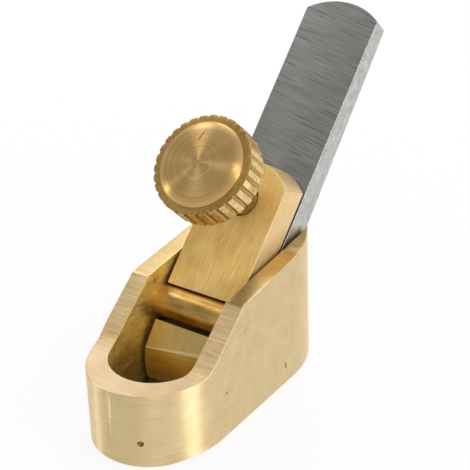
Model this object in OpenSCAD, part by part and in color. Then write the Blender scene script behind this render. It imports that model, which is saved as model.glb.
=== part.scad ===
/* [Body] */
// Length of the sole, from the nose tip to the rear tip
body_l = 36; // [34:0.5:42]
// Width across the two sides
body_w = 15.8; // [15.2:0.1:18]
// Radius of the nose tip, seen from above
nose_r = 7.1; // [6:0.1:7.4]
// Length of the rounded nose, from its tip to the straight sides
nose_run = 9.8; // [9:0.1:12]
// Radius of the rear tip, seen from above
tail_r = 2.6; // [1.5:0.1:4]
// Length of the rounded rear, from its tip to the straight sides
tail_run = 11.2; // [10:0.1:13]
// How far each side draws in towards the rear
side_taper = 0.3; // [0:0.05:0.5]
// Height of the flat rim round the nose
nose_h = 9.5; // [8:0.1:11]
// Distance from the nose tip to the foot of the rim's slope
slope_foot = 7.6; // [6:0.1:9]
// Distance from the nose tip to the head of the rim's slope
slope_head = 14.8; // [13:0.1:16]
// Height of the rim at the head of its slope
crest_h = 15.1; // [14.5:0.1:17]
// Height of the rim at the rear tip
tail_h = 17.1; // [16.5:0.1:19]
// Radius that eases the rim at the foot of its slope
foot_ease = 3.5; // [0.5:0.1:5]
// Radius that eases the rim at the head of its slope
crest_ease = 0.8; // [0.5:0.1:2]
// Bevel round the foot of the body
foot_bevel = 0.25; // [0.1:0.05:0.5]

/* [Cavity and mouth] */
// Width of the cavity between the side walls
cavity_w = 10.9; // [10.6:0.1:11.4]
// Thickness of the wall round the nose
nose_wall = 3.05; // [2:0.05:4]
// Thickness of the sole plate in front of the mouth
sole_t = 2.4; // [1.5:0.1:3.5]
// Distance from the nose tip to the cutting edge
edge_from_nose = 10.75; // [10:0.05:12]
// Opening of the mouth in front of the cutting edge
mouth_gap = 0.5; // [0.2:0.05:1]
// Lean of the mouth's front face, from the sole
mouth_lean = 62; // [50:1:85]

/* [Blade] */
// Width of the blade
blade_w = 10; // [9:0.1:10.2]
// Length of the blade, from its edge to the crown of its top
blade_l = 54.6; // [48:0.2:60]
// Thickness that the blade would have at its edge, before the bevel
blade_t_edge = 4.44; // [3.6:0.02:4.8]
// Thickness of the blade at its top
blade_t_top = 2.44; // [1.8:0.02:3.4]
// Angle of the blade's face to the sole
blade_angle = 44.5; // [43:0.5:47]
// Angle of the ground bevel to the blade's face
bevel_angle = 27; // [22:1:34]
// Radius of the blade's rounded top, seen on its face
crown_r = 8.4; // [6:0.1:14]

/* [Crossbar] */
// Diameter of the crossbar
bar_d = 3.8; // [3.2:0.1:4]
// Distance from the nose tip to the crossbar's axis
bar_from_nose = 16.8; // [16.4:0.05:17]
// Height of the crossbar's axis above the sole
bar_h = 11; // [10.9:0.05:11.4]

/* [Lever cap] */
// Width of the lever cap
cap_w = 10; // [8:0.1:10.3]
// Height of the cap's upper face above its underside
cap_t = 4.2; // [3.8:0.1:5]
// Reach of the toe, from the crossbar's axis down to the line where it presses
toe_reach = 8.9; // [7.5:0.1:9.4]
// Height of the toe's face above the underside, beside the crossbar
toe_t = 3.5; // [3:0.1:3.8]
// How much lower the toe's face is at its nose
toe_fall = 0.35; // [0:0.05:0.6]
// Length of the toe's rounded nose, along the blade
toe_nose = 3.1; // [2:0.1:4]
// Radius of the toe's rounded nose
toe_nose_r = 7; // [5:0.5:12]
// Reach of the upper end's arc centre, up from the crossbar's axis
end_reach = 12.87; // [11:0.01:14]
// Radius of the upper end's arc at the underside
end_r_low = 7; // [5.6:0.1:8]
// Radius of the upper end's arc at the upper face
end_r_high = 6.1; // [5.2:0.1:8]
// Clearance of the groove round the crossbar
bar_clear = 0.3; // [0.2:0.05:0.5]
// How far the groove sits below the crossbar, towards the toe
groove_shift = 0.22; // [0:0.01:0.25]

/* [Thumbscrew] */
// Distance from the crossbar's axis up to the screw's axis
screw_reach = 14.1; // [13:0.1:15]
// Diameter of the threaded stud
stud_d = 4; // [3:0.1:5]
// Stud showing between the lever cap and the knob
stud_show = 7.3; // [4:0.1:9]
// Depth to which the stud's end sits in the knob
stud_in_knob = 2.2; // [1.5:0.1:3]
// Bevel at the stud's foot
stud_bevel = 0.5; // [0.2:0.05:0.8]
// Radial clearance of the stud in the lever cap's hole and in the knob
stud_clear = 0.05; // [0.02:0.01:0.1]
// Diameter of the knob across its flutes
knob_d = 12.2; // [10:0.1:14]
// Height of the knob's fluted rim
knob_rim_h = 3.4; // [2.6:0.1:5]
// Diameter of the turned boss on the knob
boss_d = 10.3; // [8:0.1:11]
// Height of the boss at the top of its rounded shoulder
boss_h = 0.75; // [0.4:0.05:1.5]
// Height of the step at the foot of the shoulder
shoulder_step = 0.2; // [0.1:0.05:0.35]
// Width of the boss's rounded shoulder
shoulder_w = 1.3; // [0.6:0.1:2.5]
// Rise of the boss's shallow cone, from shoulder to centre
cone_rise = 0.3; // [0:0.05:0.8]
// Number of flutes round the knob
flutes = 30; // [20:1:36]
// Radius of one flute
flute_r = 0.3; // [0.25:0.01:0.5]
// Depth of one flute
flute_depth = 0.18; // [0.1:0.01:0.35]
// Bevel round the knob's underside
knob_bevel = 0.25; // [0.1:0.05:0.5]

/* [Seating] */
// Gap between the blade's face and the lever cap's toe
toe_gap = 0.2; // [0.15:0.01:0.3]
// Gap between the blade's face and the lever cap's underside at the crossbar
cap_gap = 0.3; // [0.25:0.01:0.5]
// Gap between the blade's face and the lever cap's underside at its upper end
end_gap = 0.5; // [0.45:0.01:0.7]
// Gap between the blade's face and the stud's foot
foot_gap = 0.2; // [0.15:0.01:0.3]

/* [Hidden] */
$fn = 96;
arc_steps = 16;          // points on each arc of an outline
over = 1;                // how far a cutting shape runs past what it cuts
nose_y = -body_l / 2;
tail_y = body_l / 2;
edge_y = nose_y + edge_from_nose;
blade_taper = atan((blade_t_edge - blade_t_top) / blade_l);
bed_angle = blade_angle + blade_taper;
// Where the bed's plane meets the sole
bed_y = edge_y + blade_t_edge / sin(bed_angle) * cos(blade_taper);
// The crossbar's place on the blade: [along its face, above its face]
bar_on_blade = [
    (nose_y + bar_from_nose - edge_y) * cos(blade_angle) + bar_h * sin(blade_angle),
    bar_h * cos(blade_angle) - (nose_y + bar_from_nose - edge_y) * sin(blade_angle)
];
cap_face = cap_gap + cap_t;
toe_s = bar_on_blade[0] - toe_reach;
toe_top_s = toe_s + toe_nose;
groove_r = bar_d / 2 + bar_clear;
groove_s = bar_on_blade[0] - groove_shift;
end_s = bar_on_blade[0] + end_reach;
screw_s = bar_on_blade[0] + screw_reach;
knob_n = cap_face + stud_show;

// Points on an arc about c, from angle a0 to angle a1
function arc(c, r, a0, a1) =
    [for (i = [0:arc_steps]) let (a = a0 + (a1 - a0) * i / arc_steps) c + r * [cos(a), sin(a)]];

// One side of a three-arc end, from its tip at [0, 0] to the straight side at [half, run]:
// a tip arc of radius r, then a flank arc that leaves it and meets the side without a corner
function end_side(half, r, run) =
    let (
        off = (pow(run - r, 2) - pow(half - r, 2)) / (2 * (half - r)),
        flank_r = half + off,
        turn = atan2(run - r, off)
    )
    concat(arc([0, r], r, -90, -turn), arc([-off, run], flank_r, -turn, 0));

function mirrored(points) = [for (i = [len(points) - 1:-1:0]) [-points[i][0], points[i][1]]];
function placed(points, y, way) = [for (p = points) [p[0], y + way * p[1]]];

// Points that ease the corner b between a and c with an arc of radius r
function eased(a, b, c, r) =
    let (
        u = (a - b) / norm(a - b),
        v = (c - b) / norm(c - b),
        half = acos(u * v) / 2,
        m = (u + v) / norm(u + v),
        o = b + m * r / sin(half),
        p = b + u * r / tan(half),
        q = b + v * r / tan(half),
        a0 = atan2(p[1] - o[1], p[0] - o[0]),
        turn = atan2(q[1] - o[1], q[0] - o[0]) - a0,
        sweep = turn > 180 ? turn - 360 : turn < -180 ? turn + 360 : turn
    )
    arc(o, r, a0, a0 + sweep);

// The body seen from above, drawn in by `inset`
module body_outline(inset = 0) {
    front = end_side(body_w / 2 - inset, nose_r - inset, nose_run - inset);
    back = end_side(body_w / 2 - side_taper - inset, tail_r - inset, tail_run - inset);
    right = concat(placed(front, nose_y + inset, 1),
                   [for (i = [len(back) - 1:-1:0]) [back[i][0], tail_y - inset - back[i][1]]]);
    polygon(concat(right, mirrored(right)));
}

// A flat shape drawn as [y, z], run across the body
module across(width) {
    rotate([90, 0, 90]) linear_extrude(width, center = true) children();
}

// A frame with its origin on the cutting edge, +Y up the blade's face and +Z out of it
module on_blade() {
    translate([0, edge_y, 0]) rotate([blade_angle, 0, 0]) children();
}

// The rim seen from the side: flat nose, slope, and a slow rise to the rear
module rim_profile() {
    foot = [nose_y + slope_foot, nose_h];
    head = [nose_y + slope_head, crest_h];
    tip = [tail_y, tail_h];
    front = [nose_y - over, nose_h];
    past_tip = tip + (tip - head) / norm(tip - head) * over;
    polygon(concat([[past_tip[0], 0], past_tip], eased(past_tip, head, foot, crest_ease),
                   eased(head, foot, front, foot_ease), [front, [nose_y - over, 0]]));
}

module body_block() {
    intersection() {
        union() {
            translate([0, 0, foot_bevel]) linear_extrude(tail_h + over) body_outline();
            linear_extrude(foot_bevel + 0.001) body_outline(foot_bevel);
        }
        across(body_w + over) rim_profile();
    }
}

// The escapement: everything in front of the bed, above the sole plate and through the mouth
module escapement() {
    mouth_y = edge_y - mouth_gap;
    lean_y = mouth_y - sole_t / tan(mouth_lean);
    top_z = tail_h + over;
    below = -over;
    intersection() {
        across(cavity_w) polygon([
            [mouth_y - below / tan(mouth_lean), below],
            [lean_y, sole_t],
            [nose_y, sole_t],
            [nose_y, top_z],
            [bed_y + top_z / tan(bed_angle), top_z],
            [bed_y + below / tan(bed_angle), below]
        ]);
        translate([0, 0, below - over]) linear_extrude(top_z + 4 * over) cavity_outline();
    }
}

// The cavity seen from above: straight sides and a half-round front
module cavity_outline() {
    r = cavity_w / 2;
    front_y = nose_y + nose_wall + r;
    polygon(concat(arc([0, front_y], r, 180, 360), [[r, tail_y + over], [-r, tail_y + over]]));
}

module crossbar_shape(d) {
    translate([0, nose_y + bar_from_nose, bar_h]) rotate([0, 90, 0])
        cylinder(d = d, h = body_w + over, center = true);
}

module body() {
    color("#c9a24a") difference() {
        body_block();
        escapement();
        crossbar_shape(bar_d);
    }
}

// A turned pin through both walls, dressed flush with them
module crossbar() {
    color("#d0a850") intersection() {
        crossbar_shape(bar_d);
        linear_extrude(tail_h) body_outline();
    }
}

// A parallel-sided iron, thickest at its ground edge, with a rounded top
module blade() {
    back = function(s) -blade_t_edge + s * tan(blade_taper);
    // The bevel rises from the edge until it meets the back
    heel_s = blade_t_edge / (tan(bevel_angle) + tan(blade_taper));
    color("#6c6c6a") on_blade() intersection() {
        across(blade_w) polygon([[0, 0], [blade_l, 0], [blade_l, back(blade_l)], [heel_s, back(heel_s)]]);
        translate([0, blade_l - crown_r, -blade_t_edge]) union() {
            cylinder(r = crown_r, h = 2 * blade_t_edge);
            translate([-blade_w, -blade_l, 0]) cube([2 * blade_w, blade_l, 2 * blade_t_edge]);
        }
    }
}

// The cap seen from the side: rounded toe, toe's face, step at the groove, upper face
module cap_profile() {
    toe_edge = [toe_s, toe_gap];
    toe_top = [toe_top_s, cap_gap + toe_t - toe_fall];
    chord = toe_top - toe_edge;
    mid = (toe_edge + toe_top) / 2;
    out = [-chord[1], chord[0]] / norm(chord);
    centre = mid - out * sqrt(pow(toe_nose_r, 2) - pow(norm(chord) / 2, 2));
    a0 = atan2(toe_edge[1] - centre[1], toe_edge[0] - centre[0]);
    a1 = atan2(toe_top[1] - centre[1], toe_top[0] - centre[0]);
    top_s = end_s + end_r_low + over;
    end_rise = (end_gap - cap_gap) / (end_reach + end_r_low);
    polygon(concat(
        arc(centre, toe_nose_r, a0 < 0 ? a0 + 360 : a0, a1 < 0 ? a1 + 360 : a1),
        [[groove_s - groove_r, cap_gap + toe_t], [groove_s, cap_gap + toe_t], [groove_s, cap_face],
         [top_s, cap_face], [top_s, end_gap + end_rise * over], [bar_on_blade[0], cap_gap]]
    ));
}

module lever_cap() {
    color("#c98f2c") on_blade() difference() {
        intersection() {
            across(cap_w) cap_profile();
            union() {
                translate([0, end_s, cap_gap]) cylinder(r1 = end_r_low, r2 = end_r_high, h = cap_t);
                translate([-cap_w, 0, 0]) cube([2 * cap_w, end_s, cap_face + over]);
            }
        }
        translate([0, groove_s, bar_on_blade[1]]) rotate([0, 90, 0])
            cylinder(r = groove_r, h = cap_w + over, center = true);
        translate([-cap_w, groove_s - groove_r, bar_on_blade[1]])
            cube([2 * cap_w, 2 * groove_r, cap_face]);
        translate([0, screw_s, 0]) cylinder(d = stud_d + 2 * stud_clear, h = cap_face + over);
    }
}

// A threaded stud, shown plain at its outer diameter
module screw_stud() {
    color("#b8892f") on_blade() translate([0, screw_s, foot_gap]) {
        cylinder(d1 = stud_d - 2 * stud_bevel, d2 = stud_d, h = stud_bevel);
        translate([0, 0, stud_bevel])
            cylinder(d = stud_d, h = knob_n - foot_gap - stud_bevel + stud_in_knob);
    }
}

// Half of the knob's section, turned about its axis
module knob_section() {
    r = knob_d / 2;
    boss_r = boss_d / 2;
    top = knob_rim_h + boss_h;
    // The shoulder's arc is level where it meets the cone
    fall = boss_h - shoulder_step;
    shoulder_r = (pow(shoulder_w, 2) + pow(fall, 2)) / (2 * fall);
    shoulder = arc([boss_r - shoulder_w, top - shoulder_r], shoulder_r, acos(shoulder_w / shoulder_r), 90);
    polygon(concat([[0, 0], [r - knob_bevel, 0], [r, knob_bevel], [r, knob_rim_h], [boss_r, knob_rim_h]],
                   shoulder, [[0, top + cone_rise]]));
}

module thumb_knob() {
    flute_at = knob_d / 2 - flute_depth + flute_r;
    color("#d2a03c") on_blade() translate([0, screw_s, knob_n]) difference() {
        rotate_extrude() knob_section();
        for (i = [0:flutes - 1])
            rotate([0, 0, 360 * i / flutes]) translate([flute_at, 0, -over])
                cylinder(r = flute_r, h = knob_rim_h + 2 * over, $fn = 24);
        translate([0, 0, -over]) cylinder(d = stud_d + 2 * stud_clear, h = stud_in_knob + stud_clear + over);
    }
}

body();
crossbar();
blade();
lever_cap();
screw_stud();
thumb_knob();
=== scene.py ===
# A small brass finger plane: a solid body, a steel blade, and a lever cap that clamps the
# blade under a crossbar by means of a thumbscrew. Shapes are worked out in millimetres, in
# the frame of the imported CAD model: the nose points to -Y and the sole lies on Z = 0.
import math

import bmesh
import bpy
import numpy as np
from mathutils import Matrix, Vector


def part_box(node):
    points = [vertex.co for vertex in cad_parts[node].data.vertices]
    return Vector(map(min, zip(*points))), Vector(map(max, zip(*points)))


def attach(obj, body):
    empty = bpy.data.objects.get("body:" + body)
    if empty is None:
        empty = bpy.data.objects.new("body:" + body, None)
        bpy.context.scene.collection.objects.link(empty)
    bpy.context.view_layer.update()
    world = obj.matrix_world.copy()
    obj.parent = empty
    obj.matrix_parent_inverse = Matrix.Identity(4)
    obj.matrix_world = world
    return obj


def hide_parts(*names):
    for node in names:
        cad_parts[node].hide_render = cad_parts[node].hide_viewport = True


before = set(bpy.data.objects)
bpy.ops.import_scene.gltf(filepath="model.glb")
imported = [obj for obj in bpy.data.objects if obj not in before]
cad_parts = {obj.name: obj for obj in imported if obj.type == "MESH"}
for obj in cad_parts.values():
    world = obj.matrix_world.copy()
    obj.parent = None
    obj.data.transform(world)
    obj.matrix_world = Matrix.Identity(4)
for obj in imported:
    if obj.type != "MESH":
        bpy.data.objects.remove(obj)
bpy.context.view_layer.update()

# The body is milled from a cast brass bar, then linished along its sides with a fine belt. A
# slot with a half-round front runs through it: a sole plate in front of the mouth, and a bed
# at 46.6 degrees behind. The rim was ground across, so its scratches run from side to side.
MM = 0.001                               # metres in a millimetre
body_low, body_high = (np.array(corner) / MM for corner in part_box("body"))
body_half, tail_h = body_high[0], body_high[2]
nose_y, tail_y = body_low[1], body_high[1]
nose_r, nose_run = 7.1, 9.8              # the tip's radius, and the rounded end's length
tail_r, tail_run, side_taper = 2.6, 11.2, 0.3
nose_h, crest_h = 9.5, 15.1              # the rim's heights below and above its slope
slope_foot, slope_head = nose_y + 7.6, nose_y + 14.8
foot_ease, crest_ease = 1.1, 0.21        # half the run of each eased bend of the rim
foot_bevel = 0.25
rim_edge, slot_edge = 0.09, 0.04         # the rim's edges were broken with a fine stone
slot_half = 5.45
slot_front = nose_y + 3.05 + slot_half   # centre of the slot's half-round front
sole_t = 2.4
edge_y = nose_y + 10.75                  # the blade's cutting edge
mouth_y, mouth_lean = edge_y - 0.5, math.radians(62)
lean_y = mouth_y - sole_t / math.tan(mouth_lean)
blade_angle = math.radians(44.5)
blade_l, blade_t_edge, blade_t_top = 54.6, 4.44, 2.44
blade_taper = math.atan((blade_t_edge - blade_t_top) / blade_l)
bed_angle = blade_angle + blade_taper
bed_y = edge_y + blade_t_edge / math.sin(bed_angle) * math.cos(blade_taper)
fan_y = nose_y + 6                       # forward of this the rim's rungs fan round the nose
# The belt's two passes met at the nose and left a shallow dip there, with a flat right face. It
# tapers downwards: its sides at the rim in X, its point in X and Z, the turn of its face, the
# slope of its left side, which leads back to the wall, and the height over which it runs out
seam_left, seam_right, seam_point, seam_low = -0.98, 0.26, -0.32, 2.6
seam_turn, seam_back, seam_fade = math.radians(18.5), 0.7, 0.2
# Pits in the cast metal, opened by the linishing: [y, z, half length, half height, depth]. They
# are coloured dark where they are deeper than the depth below
pits = ((-17.2, 3.3, 0.36, 0.33, 0.22), (5.3, 2.6, 0.16, 0.42, 0.12), (-7.1, 5.9, 0.15, 0.15, 0.1))
dark_pit_depth = 0.03
weld = 0.002                             # points nearer to each other than this are merged


def linear(hex_code):
    """The linear colour of an sRGB hex value."""
    srgb = np.array([int(hex_code[i:i + 2], 16) for i in (1, 3, 5)]) / 255
    return (*np.where(srgb <= 0.04045, srgb / 12.92, ((srgb + 0.055) / 1.055) ** 2.4), 1.0)


def add(tree, kind, inputs=(), **settings):
    """Adds a node with its settings. Inputs pairs a socket with a value or another socket."""
    made = tree.nodes.new("ShaderNode" + kind)
    for name, value in settings.items():
        setattr(made, name, value)
    for socket, value in dict(inputs).items():
        if isinstance(value, bpy.types.NodeSocket):
            tree.links.new(value, made.inputs[socket])
        else:
            made.inputs[socket].default_value = value
    return made


def build_piece(name, patches, materials, sharp=35, chart=None):
    """One closed mesh from patches, each a surface P(u, v) as a grid of points in mm with the
    number of its material, or of each cell's, or an outline of points for a flat side. Neighbours
    share the points of their common edge, so merging the doubles closes the seams and the poles.
    A chart gives the points their places in mm on a flat map."""
    points, faces, numbers, count = [], [], [], 0
    for patch, number in patches:
        if patch.ndim == 2:
            faces.append(list(range(count, count + len(patch))))
            numbers.append(number)
        else:
            rows, columns = patch.shape[:2]
            corner = count + np.arange(rows - 1)[:, None] * columns + np.arange(columns - 1)
            cells = np.stack([corner, corner + 1, corner + columns + 1, corner + columns], -1)
            faces += cells.reshape(-1, 4).tolist()
            numbers += np.broadcast_to(number, cells.shape[:2]).ravel().tolist()
        points.append(patch.reshape(-1, 3))
        count += len(points[-1])
    mesh = bpy.data.meshes.new(name)
    mesh.from_pydata(np.concatenate(points) * MM, [], faces)
    mesh.polygons.foreach_set("material_index", numbers)
    if chart is not None:
        corners = np.empty(len(mesh.loops), int)
        mesh.loops.foreach_get("vertex_index", corners)
        spots = chart.reshape(-1, 2)[corners] * MM
        mesh.uv_layers.new(name="lathe").uv.foreach_set("vector", spots.ravel())
    shell = bmesh.new()
    shell.from_mesh(mesh)
    bmesh.ops.remove_doubles(shell, verts=shell.verts, dist=weld * MM)
    bmesh.ops.recalc_face_normals(shell, faces=shell.faces)
    shell.to_mesh(mesh)
    shell.free()
    mesh.shade_smooth()
    mesh.set_sharp_from_angle(angle=math.radians(sharp))
    for material in materials:
        mesh.materials.append(material)
    piece = bpy.data.objects.new(name, mesh)
    bpy.context.scene.collection.objects.link(piece)
    return piece


def end_curve(half, r, run, steps=400):
    """Half of a three-arc end, from its tip (0, 0) to its side (half, run): a tip arc of
    radius r, then a flank arc that leaves it and meets the side without a corner."""
    off = ((run - r) ** 2 - (half - r) ** 2) / (2 * (half - r))
    turn = math.atan2(run - r, off)
    tip, flank = np.linspace(-math.pi / 2, -turn, steps), np.linspace(-turn, 0, steps)[1:]
    return np.concatenate([
        np.stack([r * np.cos(tip), r + r * np.sin(tip)], 1),
        np.stack([(half + off) * np.cos(flank) - off, run + (half + off) * np.sin(flank)], 1)])


# The outline's right half in fine steps, from the tail's tip forward to the nose's tip
tail_curve = end_curve(body_half - side_taper, tail_r, tail_run) * [1, -1] + [0, tail_y]
nose_curve = end_curve(body_half, nose_r, nose_run) + [0, nose_y]
outline = np.concatenate([tail_curve, nose_curve[::-1]])
outline_run = np.append(0, np.cumsum(np.linalg.norm(np.diff(outline, axis=0), axis=1)))
outline_turn = np.gradient(outline, outline_run, axis=0)


def ramp(t, reach):
    """The larger of 0 and t, with a parabola of this reach easing its bend."""
    return np.where(np.abs(t) < reach, (t + reach) ** 2 / (4 * reach), np.clip(t, 0, None))


def rim_height(y):
    """Height of the rim over y: a flat nose, a slope and a slow rise, each bend eased."""
    slope = (crest_h - nose_h) / (slope_head - slope_foot)
    rise = (tail_h - crest_h) / (tail_y - slope_head)
    return (nose_h + slope * ramp(y - slope_foot, foot_ease)
            + (rise - slope) * ramp(y - slope_head, crest_ease))


def bed_height(y):
    """Height of the bed over y: a plane at the bed's angle that starts at the mouth's rear."""
    return (y - bed_y) * math.tan(bed_angle)


def floor_height(y):
    """Height of the slot's floor over y: sole plate, leaning mouth face, mouth, bed."""
    return np.interp(y, [lean_y, mouth_y, bed_y, tail_y], [sole_t, 0, 0, bed_height(tail_y)])


def on_outline(at, inset=0.0):
    """Points of the outline at these lengths from the tail's tip, moved inwards by the inset
    at right angles to the outline."""
    spot = np.stack([np.interp(at, outline_run, outline[:, i]) for i in (0, 1)], -1)
    turn = np.stack([np.interp(at, outline_run, outline_turn[:, i]) for i in (0, 1)], -1)
    return spot + np.asarray(inset)[..., None] * np.stack([turn[..., 1], -turn[..., 0]], -1)


def lifted(plan, z):
    """Points in plan, each given its height: (x, y), z to (x, y, z)."""
    return np.concatenate([plan, np.broadcast_to(z, plan.shape[:-1])[..., None]], -1)


def body_patches():
    """The body's right half, mirrored. Outer wall: outline(s) x height, under the rim or, where
    the slot breaks out at the tail, under the bed, pushed in at the pits. Rim: rungs from the
    outline to the slot's edge, at height rim(y). Slot wall: the slot's edge x height, from
    floor(y) to the rim. Bed, sole plate, mouth face and sole: rows across, each from the middle
    to the wall, and in the nose rows that fan out from one point of the middle. Last, the walls
    sink into the nose's dip, by the lesser of a flat facet that leaves the wall at the dip's
    right side and of a slope that leads down from its left side."""
    wall, rim, slot, sole, flat_rim, rear_rim, pit_floor = range(7)   # the materials' numbers
    half_steps = 16                      # points from the middle to a wall
    hair = 1e-6                          # lengths that differ by less are equal
    fine = outline[:, 1]
    # Lengths along the outline of the brow, where the bed runs out at the rim, and of the
    # feather edge, where the slot breaks out of the side
    brow = np.interp(0, rim_height(fine) - bed_height(fine), outline_run)
    feather = np.interp(slot_half, tail_curve[:, 0], outline_run[:len(tail_curve)])
    nose_tip = outline_run[-1]

    def length_at(y):
        """The outline's length from the tail's tip to where it passes this y."""
        return np.interp(-y, -fine, outline_run)

    # Lines of the grid through a pit, in its half sizes, and through the dip, from the nose's tip
    pit_lines, dip_lines = np.linspace(-1.25, 1.25, 14), np.linspace(0.05, 1.05, 21)

    def near_pits(values, column):
        """The values with more of them within each pit's reach."""
        extra = [pit[column] + pit[column + 2] * pit_lines for pit in pits[1:]]
        return np.unique(np.round(np.concatenate([values, *extra]), decimals=9))

    # The rungs lie straight across from the tail to fan_y, from where columns fan round the nose
    rungs = near_pits(np.concatenate([
        np.linspace(on_outline(feather)[1], bed_y, 50), np.linspace(bed_y, mouth_y, 24),
        np.linspace(mouth_y, lean_y, 6), np.linspace(lean_y, slot_front, 3),
        np.linspace(slot_front, fan_y, 12), slope_head + crest_ease * np.linspace(-1, 1, 7)]), 0)[::-1]
    pit_at = length_at(pits[0][0])
    fan = np.unique(np.concatenate([np.linspace(length_at(fan_y), nose_tip, 36)[1:],
                                    nose_tip - dip_lines, pit_at + pits[0][2] * pit_lines]))
    closest = 0.02                       # columns any nearer to each other would merge in places
    fan = fan[np.append(True, np.diff(fan) > closest)]
    ring_at = np.concatenate([length_at(rungs), fan])
    turn = math.acos(0) + np.interp(fan, [length_at(fan_y), nose_tip],
                                    [math.asin((fan_y - slot_front) / slot_half), -math.pi / 2])
    inner_y = np.append(rungs, slot_front - slot_half * np.cos(turn))
    inner = np.stack([np.sqrt(np.clip(slot_half ** 2 - np.clip(slot_front - inner_y, 0, None) ** 2,
                                      0, None)), inner_y], 1)
    inner[-1, 0] = 0
    inner_out = np.where(inner_y[:, None] > slot_front, [1.0, 0.0],
                         (inner - [0, slot_front]) / slot_half)
    outer = on_outline(ring_at)
    # The rim's edges are rounded less where it is narrow and just before the brow
    narrow_share, brow_fade = 0.3, 0.5
    ease = np.minimum(rim_edge, narrow_share * np.linalg.norm(outer - inner, axis=1))
    inner_ease = np.minimum(slot_edge, ease)
    notch_at, tail_at = np.linspace(feather, brow, 6), np.linspace(0, brow, half_steps)
    tail_ease = rim_edge * np.clip((brow - tail_at) / brow_fade, 0, 1)

    # Heights of the wall's rows: fixed up to below the lowest rim, then shares of what is left
    fixed_top = 8
    fixed = near_pits(np.append(np.linspace(foot_bevel, fixed_top, 10),
                                pits[0][1] + pits[0][3] * pit_lines), 1)
    slot_rows = np.linspace(0, 1, 5)
    break_out = float(bed_height(on_outline(feather)[1])), float(rim_height(on_outline(feather)[1]))
    first_share = (break_out[0] - fixed[-1]) / (break_out[1] - fixed[-1])
    ring_rows = first_share + (1 - first_share) * slot_rows
    arc = np.radians([22.5, 45, 67.5, 90])   # steps round each rounded edge

    def outer_wall(at, top, shares, rounding):
        """Rows up the outline: the foot's bevel, the wall, and the rim's rounded edge."""
        rows = [lifted(on_outline(at, foot_bevel), 0.0)]
        rows += [lifted(on_outline(at), z) for z in fixed]
        spread = top - rounding - fixed[-1]
        rows += [lifted(on_outline(at), fixed[-1] + share * spread) for share in shares]
        for a in arc if np.any(rounding) else []:
            plan = on_outline(at, rounding * (1 - math.cos(a)))
            rows.append(lifted(plan, rim_height(plan[:, 1]) - rounding * (1 - math.sin(a))))
        return np.stack(rows)

    ring_wall = outer_wall(ring_at, rim_height(outer[:, 1]), ring_rows, ease)
    plain_wall = ring_wall.copy()
    for y, z, length, height, depth in pits:
        centre = on_outline(length_at(y))
        away = np.hypot(np.linalg.norm(ring_wall[..., :2] - centre, axis=-1) / length,
                        (ring_wall[..., 2] - z) / height)
        push = depth * np.clip(1 - away ** 2, 0, None) ** 0.5
        tangent = np.stack([np.interp(ring_at, outline_run, outline_turn[:, i]) for i in (0, 1)], 1)
        ring_wall[..., 0] += push * tangent[:, 1]
        ring_wall[..., 1] -= push * tangent[:, 0]
    pushed = np.linalg.norm(ring_wall - plain_wall, axis=-1) > dark_pit_depth
    in_pit = pushed[1:, 1:] | pushed[:-1, :-1] | pushed[1:, :-1] | pushed[:-1, 1:]
    notch_top = bed_height(on_outline(notch_at)[:, 1])
    notch_wall = outer_wall(notch_at, notch_top, [1], 0.0)
    tail_wall = outer_wall(tail_at, rim_height(on_outline(tail_at)[:, 1]), [1], tail_ease)

    slot_wall = [lifted(inner, floor_height(inner_y)
                        + share * (rim_height(inner_y) - inner_ease - floor_height(inner_y)))
                 for share in slot_rows]
    for a in arc:
        plan = inner + inner_out * (inner_ease * (1 - math.cos(a)))[:, None]
        slot_wall.append(lifted(plan, rim_height(plan[:, 1]) - inner_ease * (1 - math.sin(a))))
    slot_wall = np.stack(slot_wall)
    across = np.linspace(0, 1, 8)[:, None, None]
    rim_plan = (1 - across) * ring_wall[-1, :, :2] + across * slot_wall[-1, :, :2]
    half_tail = tail_wall[-1, :, :2]
    brow_line = np.linspace([0, half_tail[-1, 1]], half_tail[-1], half_steps)
    tail_plan = (1 - across) * half_tail + across * brow_line

    def rows_across(half, y, z):
        """Rows from the middle to a wall: (u half, y, z) for u from 0 to 1."""
        return np.stack([lifted(np.stack([half * u, y], 1), z)
                         for u in np.linspace(0, 1, half_steps)], 1)

    def rows_round(half, y, z):
        """Rows that meet in one point of the middle, level with the first of these points."""
        reach = np.stack([half, y - y[0]], 1)
        return np.stack([lifted(u * reach + [0, y[0]], z) for u in np.linspace(0, 1, half_steps)], 1)

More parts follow.
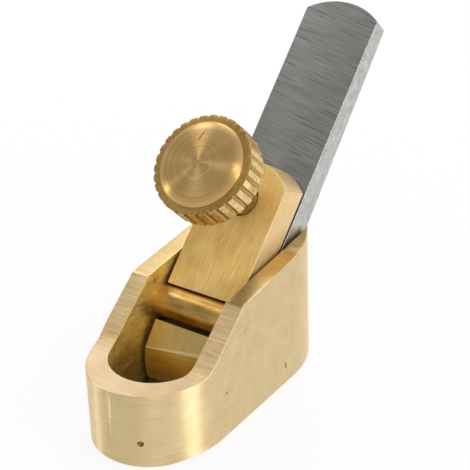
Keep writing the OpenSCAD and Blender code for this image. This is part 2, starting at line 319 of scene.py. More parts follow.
    bed_side = rungs[rungs >= bed_y - hair][1:]
    bed_edge = np.concatenate([on_outline(notch_at)[::-1],
                               np.stack([np.full(bed_side.shape, slot_half), bed_side], 1)])
    face_y = rungs[(rungs <= mouth_y + hair) & (rungs >= lean_y - hair)]
    plate = inner_y <= lean_y + hair
    sole_edge = np.concatenate([tail_wall[0, :-1], notch_wall[0, ::-1][:-1], ring_wall[0]])[:, :2]
    edge_at = np.concatenate([tail_at[:-1], notch_at[::-1][:-1], ring_at])
    by_mouth = (edge_at >= length_at(bed_y) - hair) & (edge_at <= length_at(mouth_y) + hair)
    middle_y = np.where(by_mouth, on_outline(edge_at)[:, 1], sole_edge[:, 1])
    inner_x = np.minimum(slot_half, sole_edge[:, 0])
    behind, before = middle_y >= bed_y - hair, middle_y <= mouth_y + hair
    strip = np.stack([lifted(np.stack([inner_x, middle_y], 1), 0.0), lifted(sole_edge, 0.0)], 1)
    middle = rim_plan[:-1, :-1, 1]
    rim_part = np.where(middle < slope_foot, flat_rim, np.where(middle < slope_head, rim, rear_rim))
    half = [(plain_wall, wall), (notch_wall, wall), (tail_wall, wall),
            (lifted(rim_plan, rim_height(rim_plan[..., 1])), rim_part),
            (lifted(tail_plan, rim_height(tail_plan[..., 1])), rear_rim), (slot_wall, slot),
            (rows_across(bed_edge[:, 0], bed_edge[:, 1], bed_height(bed_edge[:, 1])), slot),
            (rows_across(np.full(face_y.shape, slot_half), face_y, floor_height(face_y)), slot),
            (rows_round(inner[plate, 0], inner[plate, 1], sole_t), slot),
            (rows_across(inner_x[behind], middle_y[behind], 0.0), sole),
            (rows_round(inner_x[before], middle_y[before], 0.0), sole), (strip, sole)]
    mirrored = [(patch * [-1, 1, 1], number) for patch, number in half]
    half[0] = (ring_wall, np.where(in_pit, pit_floor, wall))
    for side_wall in (half[0][0], mirrored[0][0]):
        x, y, height = np.moveaxis(side_wall, -1, 0)
        down = np.clip((nose_h - height) / (nose_h - seam_low), 0, 1)
        first, last = (start + down * (seam_point - start) for start in (seam_right, seam_left))
        facet = (first - x) * (math.tan(seam_turn) + (first + x) / (2 * nose_r))
        sunk = np.clip(np.minimum(facet, seam_back * (x - last)), 0, None)
        sunk *= np.clip((nose_h - rim_edge - height) / seam_fade, 0, 1)
        side_wall[..., 1] += np.where(y < slot_front, sunk, 0)
    return half + mirrored


def finish(name, tones, streaks, rough, bump, tilt=0.0, turn=0.0, contrast=0.35, patches=0.25,
           cloud=1.0, brushed=None, scores=None):
    """A worked metal. Its two tones mix by soft patches, weighed by cloud, and by streaks, noise
    drawn out along the tool's path: streaks gives the noise's cells per mm along X, Y and Z,
    after the piece is tilted back about X and turned about its face. Rough is the roughness with
    its spread, and bump is the depth of the scratches in mm. Patches are counted per mm. Brushed
    gives the axis that the scratches run round, or the chart that they follow, and how far they
    draw a highlight out. Scores are sparse deep scratches, with their tone, their cells and the
    noise level above which they show. Most real scratches are too fine to show at this size, so
    every pattern is drawn as coarse as it needs to be seen."""
    score_edge = 0.07                        # the rise in noise over which a score fades in
    noise_low, noise_high = 0.3, 0.7         # noise seldom leaves this range
    material = bpy.data.materials.new(name)
    material.use_nodes = True
    tree = material.node_tree
    shader = tree.nodes["Principled BSDF"]
    charted = brushed and brushed[0] == "lathe"
    place = add(tree, "TexCoord").outputs["UV" if charted else "Object"]
    level = add(tree, "Mapping", {"Vector": place, "Rotation": (-tilt, 0, 0)}).outputs[0]
    level = add(tree, "Mapping", {"Vector": level, "Rotation": (0, 0, turn)}).outputs[0]
    drawn = add(tree, "VectorMath", {0: level, 1: [count / MM for count in streaks]},
                operation="MULTIPLY").outputs[0]
    streak = add(tree, "TexNoise", {"Vector": drawn, "Scale": 1.0, "Detail": 4.0,
                                    "Roughness": 0.6}).outputs["Fac"]
    soft = add(tree, "TexNoise", {"Vector": place, "Scale": patches / MM, "Detail": 2.0}).outputs["Fac"]
    both = add(tree, "Math", {0: soft, 1: cloud, 2: streak}, operation="MULTIPLY_ADD").outputs[0]
    middle = (1 + cloud) / 2
    share = add(tree, "MapRange", {"Value": both, "From Min": middle - contrast,
                                   "From Max": middle + contrast}).outputs[0]
    tone = add(tree, "Mix", {"Factor": share, "A": linear(tones[0]), "B": linear(tones[1])},
               data_type="RGBA").outputs["Result"]
    height = streak
    if scores:
        cut_tone, cells, bar = scores
        along = add(tree, "VectorMath", {0: level, 1: [count / MM for count in cells]},
                    operation="MULTIPLY").outputs[0]
        cut = add(tree, "TexNoise", {"Vector": along, "Scale": 1.0, "Detail": 2.0}).outputs["Fac"]
        cut = add(tree, "MapRange", {"Value": cut, "From Min": bar, "From Max": bar + score_edge}).outputs[0]
        tone = add(tree, "Mix", {"Factor": cut, "A": tone, "B": linear(cut_tone)},
                   data_type="RGBA").outputs["Result"]
        height = add(tree, "Math", {0: streak, 1: cut}, operation="SUBTRACT").outputs[0]
    tree.links.new(tone, shader.inputs["Base Color"])
    gloss = add(tree, "MapRange", {"Value": streak, "From Min": noise_low, "From Max": noise_high,
                                   "To Min": rough[0] - rough[1], "To Max": rough[0] + rough[1]})
    tree.links.new(gloss.outputs[0], shader.inputs["Roughness"])
    relief = add(tree, "Bump", {"Height": height, "Distance": bump * MM, "Strength": 1.0})
    tree.links.new(relief.outputs[0], shader.inputs["Normal"])
    if brushed:
        way = {"direction_type": "UV_MAP", "uv_map": "lathe"} if charted else {"axis": brushed[0]}
        tangent = add(tree, "Tangent", **way)
        tree.links.new(tangent.outputs[0], shader.inputs["Tangent"])
        shader.inputs["Anisotropic"].default_value = brushed[1]
        # A quarter turn: a highlight is drawn out across the scratches, not along them
        shader.inputs["Anisotropic Rotation"].default_value = 0.25
    shader.inputs["Metallic"].default_value = 1.0
    return material


# Linished: a fine belt leaves a satin wall, and its lengthwise lines draw highlights out upright
linished_brass = finish("linished_brass", ("#D3B882", "#EFDAAE"), streaks=(0.4, 0.4, 9),
                        rough=(0.42, 0.05), bump=0.006, patches=0.5, cloud=0.5, brushed=("Z", 0.93))
# Ground: a wheel leaves pale, dull slopes with coarse lines across, some of them deep and dark
ground_brass = finish("ground_brass", ("#CFAB78", "#F8E2B4"), streaks=(0.22, 9, 0.35),
                      rough=(0.58, 0.06), bump=0.012, contrast=0.26, cloud=0.3,
                      brushed=("Y", 0.4), scores=("#B09060", (0.3, 7, 0.3), 0.68))
# Stoned: the flat nose keeps shallower, softer lines, and has a matt look
stoned_brass = finish("stoned_brass", ("#CEB28C", "#ECD8B8"), streaks=(0.25, 8, 0.4),
                      rough=(0.6, 0.05), bump=0.008, contrast=0.3, cloud=0.6, brushed=("Y", 0.3))
# Smoothed: the rear part of the rim is smooth enough to mirror the cap, and its darker tones
# add a painted reflection of it
smooth_brass = finish("smooth_brass", ("#BEA068", "#E0C68E"), streaks=(0.22, 9, 0.35),
                      rough=(0.33, 0.05), bump=0.012, contrast=0.28, cloud=0.4, brushed=("Y", 0.3))
# Milled: the cutter leaves the slot mottled and uneven in gloss, and a fuller yellow
milled_brass = finish("milled_brass", ("#CEB062", "#F4DE92"), streaks=(1, 1, 3), rough=(0.5, 0.1),
                      bump=0.012, contrast=0.3, patches=0.5)
# Lapped: rubbing on a flat plate leaves the sole even and bright, with faint lines along it
lapped_brass = finish("lapped_brass", ("#D6BA84", "#E2CA98"), streaks=(4, 0.2, 1),
                      rough=(0.3, 0.04), bump=0.003)
# In the pits: a brown, grainy and dull tone
dark_pit_brass = finish("dark_pit_brass", ("#6E5A2C", "#A08748"), streaks=(3, 3, 3), rough=(0.5, 0.1),
                    bump=0.01)
body = build_piece("brass_body", body_patches(),
                   [linished_brass, ground_brass, milled_brass, lapped_brass, stoned_brass,
                    smooth_brass, dark_pit_brass])
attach(body, "frame")
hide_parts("body")

# The crossbar is a drawn brass rod, pressed through both side walls and linished flush with
# them. Its skin keeps the drawing lines and small pits of the rod.
bar_y, bar_h, bar_r = nose_y + 16.8, 11.0, 1.9
bar_proud = 0.01                         # leaves a hairline ring on the sides


def bar_patches():
    """A rod along X: circle(angle) x share of the length. Its ends follow the outline."""
    skin, end_face = range(2)            # the materials' numbers
    angle = np.linspace(0, 2 * math.pi, 65)
    y, z = bar_y + bar_r * np.cos(angle), bar_h + bar_r * np.sin(angle)
    reach = np.interp(-y, -outline[:, 1], outline[:, 0]) + bar_proud
    share = np.linspace(-1, 1, 33)[:, None]
    rod = np.stack(np.broadcast_arrays(share * reach, y, z), -1)
    radius = np.linspace(0, 1, 4)[:, None]
    disc = np.stack([bar_y + radius * bar_r * np.cos(angle),
                     bar_h + radius * bar_r * np.sin(angle)], -1)
    ends = [np.concatenate([(side * (np.interp(-disc[..., 0], -outline[:, 1], outline[:, 0])
                                     + bar_proud))[..., None], disc], -1) for side in (-1, 1)]
    return [(rod, skin), (ends[0], end_face), (ends[1], end_face)]


# Drawn: the die leaves a polished, slightly uneven skin. Lines along it and small dark pits
# break up its gleam
drawn_brass = finish("drawn_brass", ("#A8823C", "#D8B069"), streaks=(0.4, 2, 2),
                     rough=(0.34, 0.08), bump=0.035, contrast=0.3,
                     scores=("#8A6C38", (3, 3, 3), 0.68))
crossbar = build_piece("brass_crossbar", bar_patches(), [drawn_brass, linished_brass])
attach(crossbar, "frame")
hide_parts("crossbar")

# The blade is a tapered slip of tool steel, thickest at its edge, with a rounded top. Its face
# and back were ground on a coarse wheel, a little askew, its sides and top on a finer one, and
# its bevel was honed. It lies on the bed, held by the lever cap alone.
blade_half, crown_r = 5.0, 8.4
bevel_angle, blade_edge = math.radians(27), 0.06   # the bevel, and its broken sharp edges
heel_s = blade_t_edge / (math.tan(bevel_angle) + math.tan(blade_taper))
shade_reach = 5.0                            # painted shade: the face is darker as far as the toe covers it


def on_blade(points):
    """From the blade's own frame (across, up its face, out of it) to the object's frame."""
    x, s, n = np.moveaxis(points, -1, 0)
    return np.stack([x, edge_y + s * math.cos(blade_angle) - n * math.sin(blade_angle),
                     s * math.sin(blade_angle) + n * math.cos(blade_angle)], -1)


def blade_patches():
    """Face, back, bevel and crown are rows across, P(x, s, n), that share their columns. The
    crown is an arc of s over x, the back falls from the face by n(s), and the sides are flat."""
    broad, edges, bevel, shaded_face = range(4)   # the materials' numbers
    x = np.linspace(-blade_half, blade_half, 33)
    crown = blade_l - crown_r + np.sqrt(crown_r ** 2 - x ** 2)

    def row(s, n):
        """A row across the blade: (x, s, n) for every x."""
        return np.stack(np.broadcast_arrays(x, s, n), -1)

    def back(s):
        """The back's n over s: under the face by the edge's thickness, less the taper."""
        return s * math.tan(blade_taper) - blade_t_edge

    edge, heel = row(0, 0), row(heel_s, back(heel_s))
    top, top_back, shade_row = row(crown, 0), row(crown, back(crown)), row(shade_reach, 0)
    # The strip nearest the edge takes the dark steel: painted shade under the toe
    strips = [(edge, shade_row, shaded_face), (shade_row, top, broad), (top, top_back, edges),
              (top_back, heel, broad), (heel, edge, bevel)]
    sides = [np.stack([curve[i] for curve in (edge, shade_row, top, top_back, heel)]) for i in (0, -1)]
    patches = [(np.stack([low, high]), number) for low, high, number in strips]
    patches += [(side, edges) for side in sides]
    return [(on_blade(patch), number) for patch, number in patches]


def ease_edges(piece, width, segments=2, sharp=28):
    """Rounds a piece's sharp edges by a small bevel of this width in mm."""
    bevel = piece.modifiers.new("edges", "BEVEL")
    bevel.width, bevel.segments = width * MM, segments
    bevel.limit_method, bevel.angle_limit = "ANGLE", math.radians(sharp)
    bevel.use_clamp_overlap = False
    bevel.harden_normals = True


# Wheel-ground: a coarse wheel leaves grey lines across, a little askew, and some dark scores
wheel_ground_steel = finish("wheel_ground_steel", ("#787775", "#AFADA9"), streaks=(0.2, 11, 1),
                            rough=(0.42, 0.05), bump=0.008, tilt=blade_angle,
                            turn=math.radians(11), contrast=0.22, cloud=0.12,
                            brushed=("Y", 0.4), scores=("#4C4B4A", (0.12, 7, 1), 0.64))
# Edge-ground: a finer wheel leaves the sides and the crown paler, with soft patches
edge_ground_steel = finish("edge_ground_steel", ("#A6A6A3", "#D0D0CC"), streaks=(2.5, 0.8, 2.5),
                           rough=(0.4, 0.06), bump=0.006, tilt=blade_angle, patches=1.2)
# Painted shade: the face under the toe is a dark brown-grey, for the toe's shade over it
shaded_steel = finish("shaded_steel", ("#3E3A34", "#57504A"), streaks=(0.3, 6, 1),
                     rough=(0.4, 0.05), bump=0.006, tilt=blade_angle)
# Honed: a fine stone leaves the bevel bright, nearly a mirror, with faint lines down it
honed_steel = finish("honed_steel", ("#A8A8A6", "#C4C4C2"), streaks=(6, 0.4, 0.4),
                     rough=(0.2, 0.04), bump=0.003, tilt=blade_angle)
blade = build_piece("steel_blade", blade_patches(),
                    [wheel_ground_steel, edge_ground_steel, honed_steel, shaded_steel], sharp=28)
ease_edges(blade, blade_edge)
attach(blade, "iron")
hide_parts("blade")

# The lever cap is a brass block grooved to hook under the crossbar. Its toe was rounded on a
# belt, slightly askew, and its upper end is turned to a cone's arc. A threaded hole takes
# the thumbscrew. The face was rubbed lengthwise. It is a deeper, brighter gold than its sides,
# partly painted light against the knob's shade.
bar_s = (bar_y - edge_y) * math.cos(blade_angle) + bar_h * math.sin(blade_angle)
bar_n = bar_h * math.cos(blade_angle) - (bar_y - edge_y) * math.sin(blade_angle)
cap_half, cap_gap, end_gap, cap_t = 5.0, 0.3, 0.5, 4.2
cap_face = cap_gap + cap_t
toe_s, toe_gap, toe_t, toe_fall, toe_nose_r = bar_s - 8.9, 0.2, 3.5, 0.35, 7.0
toe_top_s, toe_skew = bar_s - 5.37, 0.119  # the belt's line across the toe, and its skew
# A facet along that line: its widths at the two sides, its fall to the toe and its rise beyond
lip_low, lip_high, lip_fall, lip_rise = 0.16, 0.52, 0.45, 0.1
groove_s, groove_r = bar_s - 0.22, bar_r + 0.3
end_s, end_r_low, end_r_high = bar_s + 12.87, 7.0, 6.1
screw_s, stud_r, screw_play = bar_s + 14.1, 2.0, 0.05
hole_r = stud_r + screw_play
join_s = bar_s + 9.5                     # below this the cap is the same shape all across
cap_edge = 0.07                          # its sharp edges are broken with a file


def cap_patches():
    """Strips across follow the cap's side profile. Round the screw, rings run from the hole
    to the cap's outline, at the face and at the underside, and a cone's arc joins them."""
    front, cut, toe_top, toe_round, ridge = range(5)   # the materials' numbers
    columns = 15
    x = np.linspace(-cap_half, cap_half, columns)
    belt_s, lip_n = toe_top_s + toe_skew * x, cap_gap + toe_t - toe_fall
    lip_w = np.linspace(lip_low, lip_high, columns)
    chord_end = np.stack([belt_s, lip_n - lip_fall * lip_w], 1)
    toe_edge = np.array([toe_s, toe_gap])

    def under(s):
        """Height of the underside over s: level to the bar, then an even rise to the end."""
        return np.interp(s, [bar_s, end_s + end_r_low], [cap_gap, end_gap])

    def row(s, n):
        """A row across the cap: (x, s, n) for every x."""
        return np.stack(np.broadcast_arrays(x, s, n), -1)

    chord = chord_end - toe_edge
    size = np.linalg.norm(chord, axis=1)
    bulge = np.stack([-chord[:, 1], chord[:, 0]], 1) / size[:, None]
    rise = np.sqrt(toe_nose_r ** 2 - size ** 2 / 4)
    nose = []
    for t in np.linspace(0, 1, 13):
        lift = np.sqrt(toe_nose_r ** 2 - ((t - 0.5) * size) ** 2) - rise
        place = toe_edge + t * chord + lift[:, None] * bulge
        nose.append(row(place[:, 0], place[:, 1]))
    angle = np.linspace(math.pi, 2 * math.pi, 25)
    groove = [row(groove_s + groove_r * math.cos(a), bar_n + groove_r * math.sin(a)) for a in angle]
    lip = row(belt_s + lip_w, lip_n + lip_rise * lip_w)
    step = [row(groove_s - groove_r, cap_gap + toe_t), row(groove_s + groove_r, cap_face)]
    top_join, low_join = row(join_s, cap_face), row(join_s, under(join_s))
    bottom = [low_join, row(bar_s, cap_gap), row(toe_s, toe_gap)]
    profile = nose + [lip, step[0]] + groove + [step[1], top_join]
    belt = [(np.stack(nose), toe_round), (np.stack([nose[-1], lip]), ridge),
            (np.stack([lip, step[0]]), toe_top), (np.stack([step[0], *groove, step[1]]), cut),
            (np.stack([step[1], top_join]), front), (np.stack(bottom), cut)]

    arc_x = cap_half * np.sin(np.linspace(math.pi / 2, -math.pi / 2, 33))
    levels = np.linspace(0, 1, 7)[:, None]
    low_n = under(end_s + np.sqrt(end_r_low ** 2 - arc_x ** 2))
    n = (1 - levels) * cap_face + levels * low_n
    radius = end_r_low + (end_r_high - end_r_low) * (n - cap_gap) / cap_t
    end = np.stack([np.broadcast_to(arc_x, n.shape), end_s + np.sqrt(radius ** 2 - arc_x ** 2), n], -1)

    def ring(arc, join, height):
        """Rings from the hole to a loop of the arc, the join and the sides between them: at each
        point, the share of the way from the hole's rim to the loop."""
        up = np.linspace(0, 1, 10)[:-1, None]
        sides = [join[-1] + up * (arc[0] - join[-1]), arc[-1] + up * (join[0] - arc[-1])]
        loop = np.concatenate([sides[0], arc[:-1], sides[1], join])
        angles = np.arctan2(loop[:, 1] - screw_s, loop[:, 0])
        hole = np.stack([hole_r * np.cos(angles), screw_s + hole_r * np.sin(angles)], 1)
        hole = np.concatenate([hole, height(hole[:, 1])[:, None]], 1)
        share = np.linspace(0, 1, 5)[:, None, None]
        return (1 - share) * hole + share * loop, hole, sides

    top_ring, top_hole, top_sides = ring(end[0], top_join, lambda s: np.full(s.shape, cap_face))
    low_ring, low_hole, low_sides = ring(end[-1], low_join, under)
    flats = []
    for side in (0, 1):
        column, way = side - 1, 1 - 2 * side
        edge = [strip[column] for strip in profile]
        face, below = (sides[side][1:][::way] for sides in (top_sides, low_sides))
        flats.append(np.stack([*edge, *face, *end[:, -side], *below[::-1],
                               low_join[column], bottom[1][column]]))
    patches = belt + [(end, cut), (top_ring, front), (low_ring, cut),
                      (np.stack([top_hole, low_hole]), toe_round)]
    patches += [(flat, cut) for flat in flats]
    return [(on_blade(patch), number) for patch, number in patches]


# Rubbed: paper drawn lengthwise leaves a satin face with fine lines down it. Its pale lines are
# painted highlights, and its tones are raised to a deep, bright gold, partly painted light that
# makes up for the knob's shade
rubbed_lit_brass = finish("rubbed_lit_brass", ("#E6BC66", "#FFE7A2"), streaks=(7, 0.4, 1),
                      rough=(0.7, 0.05), bump=0.01, tilt=blade_angle, contrast=0.3, cloud=0.7,
                      brushed=("X", 0.7), scores=("#FFECC0", (7, 0.3, 1), 0.67))
# Sawn: the sides are pale and dull, with faint lines along them. The groove, the underside and
# the upper end look alike
sawn_brass = finish("sawn_brass", ("#DCC08A", "#EDD6A8"), streaks=(1, 0.4, 4),
                    rough=(0.58, 0.05), bump=0.004, tilt=blade_angle)
# Filed: the toe's top has fine lines lengthwise and a soft sheen in patches
filed_brass = finish("filed_brass", ("#CCAC6C", "#E8CE90"), streaks=(5, 0.3, 1),
                     rough=(0.42, 0.06), bump=0.008, tilt=blade_angle, contrast=0.3, cloud=0.5)
# Belt-rounded: the toe has lines across, in which its highlight breaks up. The hole looks alike
belt_brass = finish("belt_brass", ("#CCAA58", "#F0D68C"), streaks=(0.4, 3, 3),
                    rough=(0.45, 0.06), bump=0.01)
# Painted highlight: the narrow facet over the toe is coloured pale, for the bright line along
# its ridge
ridge_highlight_brass = finish("ridge_highlight_brass", ("#FBE6B4", "#FFF4D4"), streaks=(3, 1, 1),
                         rough=(0.55, 0.05), bump=0.004)
cap = build_piece("brass_lever_cap", cap_patches(),
                  [rubbed_lit_brass, sawn_brass, filed_brass, belt_brass, ridge_highlight_brass], sharp=28)
ease_edges(cap, cap_edge, segments=3)
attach(cap, "cap")
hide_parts("lever_cap")

# The thumbscrew's stud is a 4 mm brass rod with a 0.7 mm thread cut along its whole length.
# Its foot is bevelled and bears on the blade, and its other end is fixed in the knob.
pitch, thread_depth, foot_n, stud_bevel = 0.7, 0.4, 0.2, 0.5
crest_half, flank = 0.1, 0.65            # of the thread's wave, in half pitches
knob_n, stud_reach = cap_face + 7.3, 2.1  # the knob's underside, and the stud's length in it


def about_screw(radius, angle, n):
    """Points about the screw's axis: (radius cos, radius sin, n) in the blade's frame, then in
    the object's."""
    return on_blade(np.stack(np.broadcast_arrays(
        radius * np.cos(angle), screw_s + radius * np.sin(angle), n), -1))


def stud_patches():
    """Radius(angle, n) = the rod's radius less the thread's depth times a flat-topped wave of
    n / pitch - angle / turn, cut down by the foot's bevel."""
    angle = np.linspace(0, 2 * math.pi, 49)
    n = np.arange(foot_n, knob_n + stud_reach, pitch / 12)[:, None]
    wave = np.abs(((n / pitch - angle / (2 * math.pi)) % 1) * 2 - 1)
    depth = thread_depth * np.clip((1 - crest_half - wave) / flank, 0, 1)
    radius = np.minimum(stud_r - depth, stud_r - stud_bevel + n - foot_n)
    shaft = about_screw(radius, angle, n)
    share = np.linspace(0, 1, 3)[:, None]
    ends = [about_screw(share * radius[i], angle, n[i]) for i in (0, -1)]
    return [(shaft, 0), (ends[0], 0), (ends[1], 0)]


# Threaded: a die cuts clean flanks. Its tones are darker than the other brass: painted shade
# for the knob's shadow over the stud
shaded_thread_brass = finish("shaded_thread_brass", ("#82602E", "#AC8444"), streaks=(2, 2, 2),
                        rough=(0.4, 0.06), bump=0.003)
stud = build_piece("brass_stud", stud_patches(), [shaded_thread_brass], sharp=25)
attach(stud, "stud")
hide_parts("screw_stud")

# The knob is turned from brass rod: a flat rim with thirty milled flutes, and a low boss with
# a rounded shoulder and a very shallow cone. The lathe left fine rings round its face.
knob_r, rim_h, boss_r, boss_h, cone_rise = 6.1, 3.4, 5.15, 0.75, 0.3
shoulder_w, shoulder_fall = 1.3, 0.55
flutes, flute_r, flute_depth, knob_bevel = 30, 0.3, 0.18, 0.25
knob_edge, knob_bore = 0.06, 2.25        # the rim's rounded edge, and the depth of the stud's hole
land_top = rim_h - 0.4                   # the first row of points below the rounded edge
scratch_ends, scratch_half, scratch_depth = ((-0.9, 3.52), (-1.24, 2.3)), 0.055, 0.06


def knob_patches():
    """The knob's section x angle. Radius(section, angle) is the section's radius, and on the
    rim the least of the knob's radius and of the near wall of a flute at that angle. The face
    sinks into the long scratch by a parabola of the distance from its line. The chart spreads
    the section out: the arc at half the boss's radius x the length along the section."""
    face, ring, land, hollow = range(4)  # the materials' numbers
    flute_steps = 18
    angle = np.linspace(0, 2 * math.pi, flutes * flute_steps + 1)
    off = (angle + math.pi / flutes) % (2 * math.pi / flutes) - math.pi / flutes
    centre = knob_r - flute_depth + flute_r
    reach = np.clip(flute_r ** 2 - (centre * np.sin(off)) ** 2, 0, None)
    flute = np.where(reach > 0, centre * np.cos(off) - np.sqrt(reach), knob_r)
    edge = np.minimum(knob_r, flute)
    inner = boss_r - shoulder_w
    shoulder_r = (shoulder_w ** 2 + shoulder_fall ** 2) / (2 * shoulder_fall)
    top = rim_h + boss_h
    rows = [(r, top + cone_rise * (1 - r / inner)) for r in np.linspace(0, inner, 36)]
    rows += [(inner + shoulder_r * math.sin(a), top - shoulder_r * (1 - math.cos(a)))
             for a in np.linspace(0, math.asin(shoulder_w / shoulder_r), 12)[1:]]
    rows += [(boss_r, rim_h)]
    rows += [(boss_r + share * (edge - knob_edge - boss_r), rim_h) for share in (0.33, 0.67, 1)]
    face_rows, ring_start = len(rows) - 1, len(rows) - 4
    rows += [(edge - knob_edge * (1 - math.sin(a)), rim_h - knob_edge * (1 - math.cos(a)))
             for a in np.radians([30, 60, 90])]
    rows += [(edge, h) for h in np.linspace(land_top, knob_bevel, 6)]
    rows += [(np.minimum(edge, knob_r - knob_bevel), 0.0)]
    rows += [(hole_r + share * (knob_r - knob_bevel - flute_depth - hole_r), 0.0)
             for share in (1, 0.5, 0)]
    rows += [(hole_r, knob_bore), (0.0, knob_bore)]
    radius = np.stack([np.broadcast_to(row[0], angle.shape) for row in rows])
    height = np.stack([np.full(angle.shape, row[1]) for row in rows])
    spot = np.stack([radius * np.cos(angle), radius * np.sin(angle)], -1)[:face_rows]
    start, line = np.array(scratch_ends[0]), np.subtract(scratch_ends[1], scratch_ends[0])
    along = np.clip((spot - start) @ line / (line @ line), 0, 1)
    away = np.linalg.norm(spot - start - along[..., None] * line, axis=-1)
    height[:face_rows] -= scratch_depth * np.clip(1 - (away / scratch_half) ** 2, 0, None)
    run = np.cumsum(np.hypot(np.diff(radius[:, :1], axis=0, prepend=0),
                             np.diff(height[:, :1], axis=0, prepend=0)), axis=0)
    chart = np.stack(np.broadcast_arrays(angle * boss_r / 2, run), -1)
    zone = np.searchsorted([ring_start, face_rows], np.arange(len(rows) - 1), side="right")
    numbers = np.array([face, ring, land])[zone][:, None]
    # Cells within the flutes take the darker brass: painted shade
    in_flute = (reach[1:] > 0) & (reach[:-1] > 0)
    numbers = np.where((numbers == land) & in_flute, hollow, numbers)
    return [(about_screw(radius, angle, knob_n + height), numbers)], chart


# Turned: the lathe's rings, drawn coarser than the real ones, draw each highlight out into a
# line through the centre. Some rings are coloured pale: painted highlights
turned_brass = finish("turned_brass", ("#BC9350", "#E6C388"), streaks=(0.06, 8, 1),
                      rough=(0.36, 0.05), bump=0.007, contrast=0.3, cloud=0.5,
                      brushed=("lathe", 0.9), scores=("#F0DAAC", (0.05, 7, 1), 0.66))
# Faced: the flat rim round the boss is duller, with short dark marks across its rings
faced_brass = finish("faced_brass", ("#AE8A4A", "#D6B26E"), streaks=(0.1, 5, 1),
                     rough=(0.42, 0.06), bump=0.003, cloud=0.5, brushed=("lathe", 0.6),
                     scores=("#A38148", (14, 0.8, 1), 0.54))
# Lands: the lands between the flutes, and the underside, are uneven with dark spots, and lighter
# than the flutes: painted light on the lands
lit_land_brass = finish("lit_land_brass", ("#C69E58", "#FAE4AA"), streaks=(2.5, 2.5, 2.5),
                    rough=(0.34, 0.1), bump=0.018, contrast=0.4, patches=0.6, cloud=1.5,
                    scores=("#9A7436", (4, 4, 4), 0.68))
# Flutes: a darker gold, rough with small burrs: painted shade in the hollows, and some dirt
shaded_flute_brass = finish("shaded_flute_brass", ("#9C7638", "#CCA662"), streaks=(2.5, 2.5, 2.5),
                      rough=(0.34, 0.08), bump=0.01)
knob_grid, knob_chart = knob_patches()
knob = build_piece("brass_knob", knob_grid, [turned_brass, faced_brass, lit_land_brass, shaded_flute_brass],
                   sharp=28, chart=knob_chart)
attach(knob, "knob")
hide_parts("thumb_knob")

# The plane stands on a sheet of white paper in a plain bright room with five soft boxes. The
# camera is fitted to the view of the photograph, from above the plane's right side.
azimuth, elevation, roll = math.radians(35.7508), math.radians(28.6242), math.radians(2.0471)
right = np.array([math.cos(azimuth), math.sin(azimuth), 0])
up = np.array([-math.sin(azimuth) * math.sin(elevation), math.cos(azimuth) * math.sin(elevation),
               math.cos(elevation)])
back = np.cross(right, up)
aim_right, aim_up, camera_distance = 14.338, 24.925, 178.09   # from the nose's foot, in mm
aim = aim_right * right + aim_up * up + [0, nose_y, 0]
camera = bpy.data.objects.new("camera", bpy.data.cameras.new("camera"))
camera_x = math.cos(roll) * right - math.sin(roll) * up
camera_y = math.sin(roll) * right + math.cos(roll) * up
pose = np.eye(4)
pose[:3, :3] = np.stack([camera_x, camera_y, back], 1)
pose[:3, 3] = (aim + camera_distance * back) * MM
camera.matrix_world = Matrix(pose.tolist())
camera.data.lens, camera.data.sensor_width = 122.10, 36
camera.data.clip_start = 0.01
bpy.context.scene.collection.objects.link(camera)
bpy.context.scene.camera = camera

floor_half, floor_gap = 3000, 0.01       # a hair under the sole, so that both stay visible
floor_mesh = bpy.data.meshes.new("floor")
floor_mesh.from_pydata([(x * floor_half * MM, y * floor_half * MM, -floor_gap * MM)
                        for x, y in ((-1, -1), (1, -1), (1, 1), (-1, 1))], [], [(0, 1, 2, 3)])
floor = bpy.data.objects.new("floor", floor_mesh)
bpy.context.scene.collection.objects.link(floor)
# White paper: matt and even, with no gleam. It glows for the eye, so that it shows as white
paper_grey, glow_share = 0.88, 0.85
paper = bpy.data.materials.new("white_paper")
paper.use_nodes = True
tree = paper.node_tree
matte = tree.nodes["Principled BSDF"]
matte.inputs["Base Color"].default_value = (paper_grey, paper_grey, paper_grey, 1)
matte.inputs["Roughness"].default_value = 0.9
matte.inputs["Specular IOR Level"].default_value = 0.0
glow = add(tree, "Emission", {"Color": (1, 1, 1, 1), "Strength": 1.0})
# The camera and the metal see the paper's glow, but not within the mouth, where the sole shuts
# the light out. From below the paper is clear, so that the sole shows.
rays = add(tree, "LightPath").outputs
spot = add(tree, "TexCoord").outputs["Object"]
mouth_centre = (0, (mouth_y + bed_y) / 2 * MM, 0)
mouth_half = (slot_half * MM, (bed_y - mouth_y) / 2 * MM, 1)
for step, value in (("SUBTRACT", mouth_centre), ("DIVIDE", mouth_half), ("ABSOLUTE", (0, 0, 0))):
    spot = add(tree, "VectorMath", {0: spot, 1: value}, operation=step).outputs["Vector"]
sides = add(tree, "SeparateXYZ", {0: spot}).outputs
off = add(tree, "Math", {0: sides["X"], 1: sides["Y"]}, operation="MAXIMUM").outputs[0]
clear = add(tree, "Math", {0: off, 1: 1.0}, operation="GREATER_THAN").outputs[0]
seen = rays["Is Camera Ray"]
for kind in ("Is Glossy Ray", "Is Transmission Ray"):
    seen = add(tree, "Math", {0: seen, 1: rays[kind]}, operation="MAXIMUM").outputs[0]
share = add(tree, "Math", {0: seen, 1: clear}, operation="MULTIPLY").outputs[0]
share = add(tree, "Math", {0: share, 1: glow_share}, operation="MULTIPLY").outputs[0]
top = add(tree, "MixShader", {"Fac": share, 1: matte.outputs[0], 2: glow.outputs[0]}).outputs[0]
under = add(tree, "NewGeometry").outputs["Backfacing"]
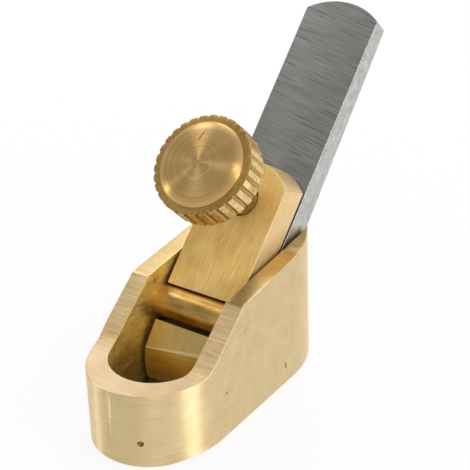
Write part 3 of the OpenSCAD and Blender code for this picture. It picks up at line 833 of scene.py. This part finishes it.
open_below = add(tree, "BsdfTransparent").outputs[0]
blend = add(tree, "MixShader", {"Fac": under, 1: top, 2: open_below})
tree.links.new(blend.outputs[0], tree.nodes["Material Output"].inputs["Surface"])
floor_mesh.materials.append(paper)


def lamp(name, place, size, power, target=(0, 0, 10)):
    """A square soft box at a place in mm, of a size in mm and a power in watts, turned to the
    target."""
    light = bpy.data.lights.new(name, "AREA")
    light.shape, light.size, light.energy = "SQUARE", size * MM, power
    box = bpy.data.objects.new(name, light)
    way = np.array(place, float) - np.array(target, float)
    way /= np.linalg.norm(way)
    side = np.cross([0, 0, 1], way)
    side /= np.linalg.norm(side)
    turn = np.eye(4)
    turn[:3, :3] = np.stack([side, np.cross(way, side), way], 1)
    turn[:3, 3] = np.array(place) * MM
    box.matrix_world = Matrix(turn.tolist())
    box.visible_camera = False
    bpy.context.scene.collection.objects.link(box)


# The small box at the left is the one that shows in the dip of the nose
lamp("right_box", (400, 20, 110), size=110, power=0.5)
lamp("side_box", (-320, -165, 45), size=42, power=0.1)
lamp("upper_box", (-253, 45, 306), size=90, power=0.18)
lamp("front_box", (141, -141, 346), size=60, power=0.12)
lamp("rear_box", (-120, 320, 260), size=240, power=0.4)

# The room is evenly bright, apart from a dimmer part high on the camera's left, which gives the
# metal something darker to mirror
dim_way, dim_light, room_light = (-0.45, -0.55, 0.70), 0.45, 0.95
world = bpy.data.worlds.new("studio")
bpy.context.scene.world = world
world.use_nodes = True
tree = world.node_tree
tree.nodes.clear()
way = add(tree, "TexCoord").outputs["Generated"]
toward = add(tree, "VectorMath", {0: way, 1: dim_way}, operation="DOT_PRODUCT").outputs["Value"]
dim = add(tree, "MapRange", {"Value": toward, "From Min": 0.3, "From Max": 0.95,
                             "To Min": room_light, "To Max": dim_light},
          interpolation_type="SMOOTHSTEP").outputs[0]
room = add(tree, "Background", {"Color": (1, 1, 1, 1), "Strength": dim})
add(tree, "OutputWorld", {"Surface": room.outputs[0]})

bpy.context.scene.view_settings.view_transform = "Standard"
bpy.context.view_layer.update()
